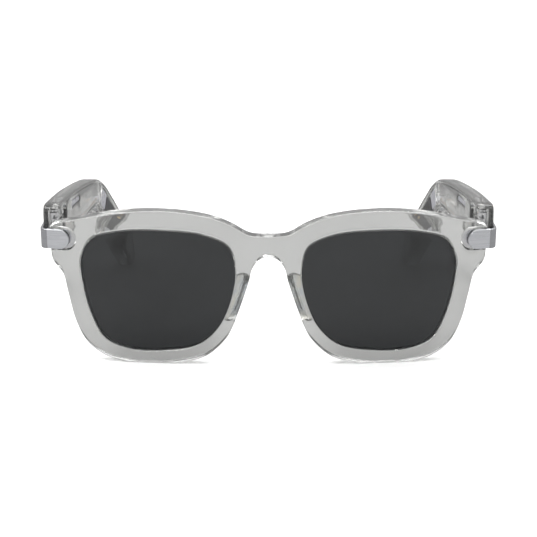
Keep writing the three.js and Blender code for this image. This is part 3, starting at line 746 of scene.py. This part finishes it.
def corner_caps():
    """The brushed plate as one strip: drawn flat along its length, then wrapped round the corner."""
    turn_x = CAP_OUTER_FACE - CAP_CORNER
    flat_length = turn_x - CAP_INNER_END
    turn_length = CAP_CORNER * math.pi / 2
    face_y = surface_y(turn_x) - CAP_PROUD

    def on_cap(along, height, depth):
        if along <= flat_length:
            x = CAP_INNER_END + along
            return tilted(x, surface_y(x) - CAP_PROUD + depth, height)
        angle = min(1.0, (along - flat_length) / turn_length) * math.pi / 2
        radius = CAP_CORNER - depth
        y = face_y + CAP_CORNER - radius * math.cos(angle) + max(0.0, along - flat_length - turn_length)
        return tilted(turn_x + radius * math.sin(angle), y, height)

    def rear_end(height):
        y = (CAP_REAR - SETBACK + height * math.sin(TILT)) / math.cos(TILT)
        return flat_length + turn_length + y - face_y - CAP_CORNER

    radius = (CAP_TOP - CAP_BOTTOM) / 2
    outline = joined(
        line((rear_end(CAP_TOP), CAP_TOP), (radius, CAP_TOP), CAP_STEP),
        arc(radius, NOTCH_MIDDLE, radius, 90, 270, 24),
        line((radius, CAP_BOTTOM), (rear_end(CAP_BOTTOM), CAP_BOTTOM), CAP_STEP),
        line((rear_end(CAP_BOTTOM), CAP_BOTTOM), (rear_end(CAP_TOP), CAP_TOP), CAP_STEP),
    )
    cap = solid(outline, rounded_edge(0, CAP_WALL, 0.2, 0.1, 3), on_cap, step=CAP_STEP)
    on_both_sides("corner_cap", cap.mesh("corner_cap"), FRONT_BODY, "brushed_metal")


# ------------------------------------------------------------------ the temples

TEMPLE_OUTLINE = anticlockwise(joined(
    line((TEMPLE_FRONT, 38), (TEMPLE_FRONT, 48.2)),
    quadratic((TEMPLE_FRONT, 48.2), (TEMPLE_FRONT, 51.4), (20.4, 51.5)),
    spline([(20.4, 51.5), (40, 51.3), (57, 50.3), (72, 49.1), (86, 47.5), (96, 45.4), (104, 42), (111, 37.6),
            (124, 29), (137, 19.4), (146, 12)], 1.4),
    [tuple(p) for p in (
        Vector((146, 12)) * (1 - t) ** 3 + Vector((151, 7.6)) * 3 * t * (1 - t) ** 2
        + Vector((151.5, 0)) * 3 * t * t * (1 - t) + Vector((147.6, 0)) * t ** 3
        for t in [k / 14 for k in range(15)])],
    line((147.6, 0), (143.2, 0)),
    quadratic((143.2, 0), (141.2, 0.9), (137, 4.4)),
    spline([(137, 4.4), (117, 18.2), (99, 30.4), (94, 34), (89, 36.3), (82, 37), (60, 37), (40, 36.8),
            (18.6, 36.5)], 1.4),
    quadratic((18.6, 36.5), (TEMPLE_FRONT, 36.5), (TEMPLE_FRONT, 38)),
))


def clipped(points, low=-1e9, high=1e9):
    """A loop cut to the span between two places along the temple."""
    for limit, side in ((low, 1), (high, -1)):
        kept = []
        for a, b in zip(points, points[1:] + points[:1]):
            a_in, b_in = (a[0] - limit) * side >= 0, (b[0] - limit) * side >= 0
            if a_in:
                kept.append(a)
            if a_in != b_in:
                t = (limit - a[0]) / (b[0] - a[0])
                kept.append((limit, a[1] + (b[1] - a[1]) * t))
        corners = [p for p in kept if p[0] == limit]
        points = [p for p in kept if p[0] == limit or all(math.dist(p, c) > 0.6 for c in corners)]
    return points


def cover_outline(inset, low, high=1e9):
    return clipped(moved_out(TEMPLE_OUTLINE, -inset), low, high)


ARM_CAVITY = joined(
    line((30, 38.6), (88, 38.7), 4),
    quadratic((88, 38.7), (93.4, 38.7), (93.4, 41)),
    quadratic((93.4, 41), (93.4, 44.6), (88, 45.4)),
    spline([(88, 45.4), (72, 47.3), (57, 48.6), (40, 49.6), (30, 49.8)], 2),
)
LEAF_SCREW = (23.6, 43.6)
VENT = {"length": 14.6, "height": 2.2, "centre": (45, 47.2), "angle": -0.03}
BEYOND = TEMPLE_THICKNESS + 1


def tip_place(along, across=0.0):
    return turned([(along, across)], TIP_CENTRE, TIP_SLOPE)[0]


def temple_shells():
    profile = rounded_edge(0, TEMPLE_THICKNESS, 1.0, 1.0)
    shell = solid(TEMPLE_OUTLINE, profile, on_temple, step=FACE_STEP).mesh("temple_shell")
    floor_round = rounded_edge(OUTER_WALL, BEYOND, 0.45, 0, 3)
    rebate = [(0, COVER_FROM - GAP), (0, BEYOND)]
    channel = [(0, OUTER_WALL + 0.1), (0, COVER_FROM - 0.1)]
    cutters = [
        solid(cover_outline(COVER_INSET - GAP, LEAF_RECESS_REAR), rebate, on_temple, step=3),
        solid(ARM_CAVITY, floor_round, on_temple, step=4),
        solid(bar(52, 9, 2, tip_place(-3), TIP_SLOPE), floor_round, on_temple, step=4),
        solid(bar(14, 3.6, 0.8, (96.5, 37.2), -0.62), channel, on_temple, step=2),
        block((10, 30, LEAF_RECESS), (LEAF_RECESS_REAR + 0.02, 49.9, BEYOND), on_temple),
        block((20, 40, LEAF_RECESS - 0.01), (33, 46, BEYOND), on_temple),
        solid(circle(0.9, LEAF_SCREW), [(0, 1.4), (0, 4.5)], on_temple),
        solid(circle(KNUCKLE_RADIUS + 0.4, (0, 0), 32), [(0, 30), (0, 49.9)], on_hinge),
    ]
    on_both_sides("temple_shell", cut(shell, cutters), TEMPLE_BODY, "clear_acetate")


def covers():
    edge = rounded_edge(COVER_FROM, TEMPLE_THICKNESS, 0.15, 0.35, 4)
    arm = cover_outline(COVER_INSET, LEAF_RECESS_REAR + 1.5, BEND_Y - SEAM)
    vent = stadium(VENT["length"], VENT["height"], VENT["centre"], VENT["angle"])
    arm_cover = solid(arm, edge, on_temple, holes=[(vent, edge)], step=FACE_STEP).mesh("arm_cover")
    on_both_sides("arm_cover", arm_cover, TEMPLE_BODY, "clear_acetate")
    tip = cover_outline(COVER_INSET, BEND_Y + SEAM)
    window = bar(44.8, 7, 1.6, tip_place(-6.5), TIP_SLOPE)
    tip_cover = solid(tip, edge, on_temple, holes=[(window, edge)], step=FACE_STEP).mesh("tip_cover")
    on_both_sides("tip_cover", tip_cover, TEMPLE_BODY, "clear_acetate")


# ------------------------------------------------------------------ pieces kept from the CAD, edges rounded

CAD_EDGES = {                          # the round along the edges of each, in mm
    "cap_screw": 0.12, "hinge_bracket": 0.15, "hinge_pin": 0.12, "hinge_leaf": 0.12, "leaf_screw": 0.1,
    "speaker_chamber": 0.2, "speaker_driver": 0.2, "speaker_mesh": 0.1, "microphone": 0.1, "flex_cable": 0.03,
    "amplifier_board": 0.08, "bend_seal": 0.2, "connector_shield": 0.2, "tip_tray": 0.25, "battery": 0.3,
    "tip_board": 0.08, "charge_contact_front": 0.1, "charge_contact_rear": 0.1,
}


def smoothing(limit=35):
    """A node group that shades faces smooth, apart from edges sharper than the limit in degrees."""
    group = bpy.data.node_groups.new("smoothing", "GeometryNodeTree")
    group.interface.new_socket("Geometry", in_out="INPUT", socket_type="NodeSocketGeometry")
    group.interface.new_socket("Geometry", in_out="OUTPUT", socket_type="NodeSocketGeometry")
    start, end = group.nodes.new("NodeGroupInput"), group.nodes.new("NodeGroupOutput")
    faces, edges = (group.nodes.new("GeometryNodeSetShadeSmooth") for _ in range(2))
    faces.domain, edges.domain = "FACE", "EDGE"
    edges.inputs["Shade Smooth"].default_value = False
    angle = group.nodes.new("GeometryNodeInputMeshEdgeAngle")
    sharper = group.nodes.new("FunctionNodeCompare")
    sharper.inputs["B"].default_value = math.radians(limit)
    link(group, angle.outputs["Unsigned Angle"], sharper.inputs["A"])
    link(group, sharper.outputs["Result"], edges.inputs["Selection"])
    link(group, start.outputs[0], faces.inputs["Geometry"])
    link(group, faces.outputs["Geometry"], edges.inputs["Geometry"])
    link(group, edges.outputs["Geometry"], end.inputs[0])
    return group


def finish_cad():
    """Rounds and smooths the CAD pieces that stay, and gives each the material of its slot."""
    slots = {row["node"]: row["material_slot"] for row in frame["record"]["subparts"]}
    smooth = smoothing()
    for name, obj in frame["nodes"].items():
        stem = name.removesuffix("_left").removesuffix("_right")
        if stem not in CAD_EDGES:
            continue
        for place in obj.material_slots:
            place.material = MATERIALS[slots[name]]
        bevel = obj.modifiers.new("edges", "BEVEL")
        bevel.width = CAD_EDGES[stem] * MM
        bevel.segments = 3
        bevel.limit_method = "ANGLE"
        bevel.angle_limit = math.radians(40)
        obj.modifiers.new("smooth", "NODES").node_group = smooth


front_rim()
lenses()
nose_pads()
corner_caps()
temple_shells()
covers()
finish_cad()


# ------------------------------------------------------------------ floor and light

FLOOR_LOOKS = {                        # name: (depth in mm, shade, seen by the camera)
    "floor": (0.05, 0.93, True),       # what the camera sees: white, as around the cut-out object
    "floor_grey": (0.4, 0.36, False),  # what the object mirrors and lets through: a studio's mid grey
}


WHITE_LIFT = 0.12                      # a little light of its own, so that shadows on the white stay faint


def floors():
    for name, (top, shade, seen) in FLOOR_LOOKS.items():
        obj = solid([(-9000, -9000), (9000, -9000), (9000, 9000), (-9000, 9000)], [(0, top), (0, 20)],
                    lambda x, y, depth: (x, y, -depth)).mesh(name)
        obj = bpy.data.objects.new(name, obj)
        bpy.context.scene.collection.objects.link(obj)
        look = Look(name).set(Specular_IOR_Level=0.1, Emission_Color=(1, 1, 1, 1),
                              Emission_Strength=WHITE_LIFT if seen else 0.0)
        look.colour((shade - 0.01,) * 3, (shade + 0.01,) * 3, 3, 2)
        look.roughness(0.75, 0.85, 20)
        obj.data.materials.append(look.material)
        seen_by(obj, seen)


def seen_by(obj, camera):
    """Shows a stage piece to the camera alone, or to everything but the camera."""
    obj.visible_camera = camera
    for ray in ("visible_diffuse", "visible_glossy", "visible_transmission", "visible_shadow"):
        setattr(obj, ray, not camera)


def backdrop():
    """A plain white dome that only the camera sees, above the floor's far edge."""
    radius, rows = 8500, 16
    turns = [math.pi * k / rows for k in range(rows + 1)]
    builder = Builder()
    builder.lathe([(radius * math.sin(a), radius * math.cos(a)) for a in turns],
                  lambda x, y, height: (x, y, height), steps=48)
    obj = bpy.data.objects.new("backdrop", builder.mesh("backdrop"))
    bpy.context.scene.collection.objects.link(obj)
    look = Look("backdrop").set(Emission_Color=(1, 1, 1, 1), Emission_Strength=1.0)
    look.colour((0.0, 0.0, 0.0), (0.02, 0.02, 0.02), 2, 2)
    obj.data.materials.append(look.material)
    seen_by(obj, True)


def area_light(name, place, size, power, aim=(0, ORIGIN_Y * MM, 0.03)):
    data = bpy.data.lights.new(name, "AREA")
    data.shape = "RECTANGLE"
    data.size, data.size_y = size
    data.energy = power
    light = bpy.data.objects.new(name, data)
    light.location = place
    light.rotation_euler = (Vector(aim) - Vector(place)).to_track_quat("-Z", "Y").to_euler()
    bpy.context.scene.collection.objects.link(light)


SKY_SHADES = [(0.0, 0.50), (0.47, 0.42), (0.56, 0.50), (0.72, 0.66), (1.0, 0.95)]   # from nadir to zenith
BEHIND_CAMERA = 0.22                   # share of the sky's shade that is left there, and far out to the sides
FAR_SIDES = 0.45


def room():
    """The sky: a grey room, lighter overhead and darker at its sides and behind the camera."""
    world = bpy.data.worlds.new("studio")
    world.use_nodes = True
    tree = world.node_tree
    coords = tree.nodes.new("ShaderNodeTexCoord")
    split = tree.nodes.new("ShaderNodeSeparateXYZ")
    shift = tree.nodes.new("ShaderNodeMapRange")
    shift.inputs["From Min"].default_value = -1
    ramp = tree.nodes.new("ShaderNodeValToRGB")
    elements = ramp.color_ramp.elements
    elements[0].position, elements[1].position = SKY_SHADES[0][0], SKY_SHADES[-1][0]
    for place, _ in SKY_SHADES[1:-1]:
        elements.new(place)
    for element, (_, shade) in zip(elements, SKY_SHADES):
        element.color = (shade, shade, shade, 1)
    link(tree, coords.outputs["Generated"], split.inputs["Vector"])
    link(tree, split.outputs["Z"], shift.inputs["Value"])
    link(tree, shift.outputs["Result"], ramp.inputs["Fac"])
    front = soft_step(tree, split.outputs["Y"], (-0.98, -0.72), (BEHIND_CAMERA, 1.0))
    sideways = tree.nodes.new("ShaderNodeMath")
    sideways.operation = "ABSOLUTE"
    link(tree, split.outputs["X"], sideways.inputs[0])
    sides = soft_step(tree, sideways.outputs[0], (0.72, 0.97), (1.0, FAR_SIDES))
    dark = tree.nodes.new("ShaderNodeMath")
    dark.operation = "MULTIPLY"
    link(tree, front, dark.inputs[0])
    link(tree, sides, dark.inputs[1])
    shaded = tree.nodes.new("ShaderNodeMix")
    shaded.data_type, shaded.blend_type = "RGBA", "MULTIPLY"
    shaded.inputs["Factor"].default_value = 1.0
    colour_a, colour_b, mixed = shaded.inputs[6], shaded.inputs[7], shaded.outputs[2]
    link(tree, ramp.outputs["Color"], colour_a)
    link(tree, dark.outputs[0], colour_b)
    link(tree, mixed, tree.nodes["Background"].inputs["Color"])
    bpy.context.scene.world = world


def lamps():
    """A very wide, soft light from above and two soft boxes."""
    data = bpy.data.lights.new("overhead", "SUN")
    data.energy = 1.1
    data.angle = math.radians(120)
    bpy.context.scene.collection.objects.link(bpy.data.objects.new("overhead", data))
    area_light("key", (-0.55, -0.55, 0.9), (0.5, 0.5), 5)
    area_light("rear", (0.2, 0.3, 1.1), (0.9, 0.4), 5)


floors()
backdrop()
room()
lamps()

scene = bpy.context.scene
scene.view_settings.view_transform = "Standard"
scene.cycles.max_bounces = 32
scene.cycles.transmission_bounces = 32
scene.cycles.transparent_max_bounces = 16
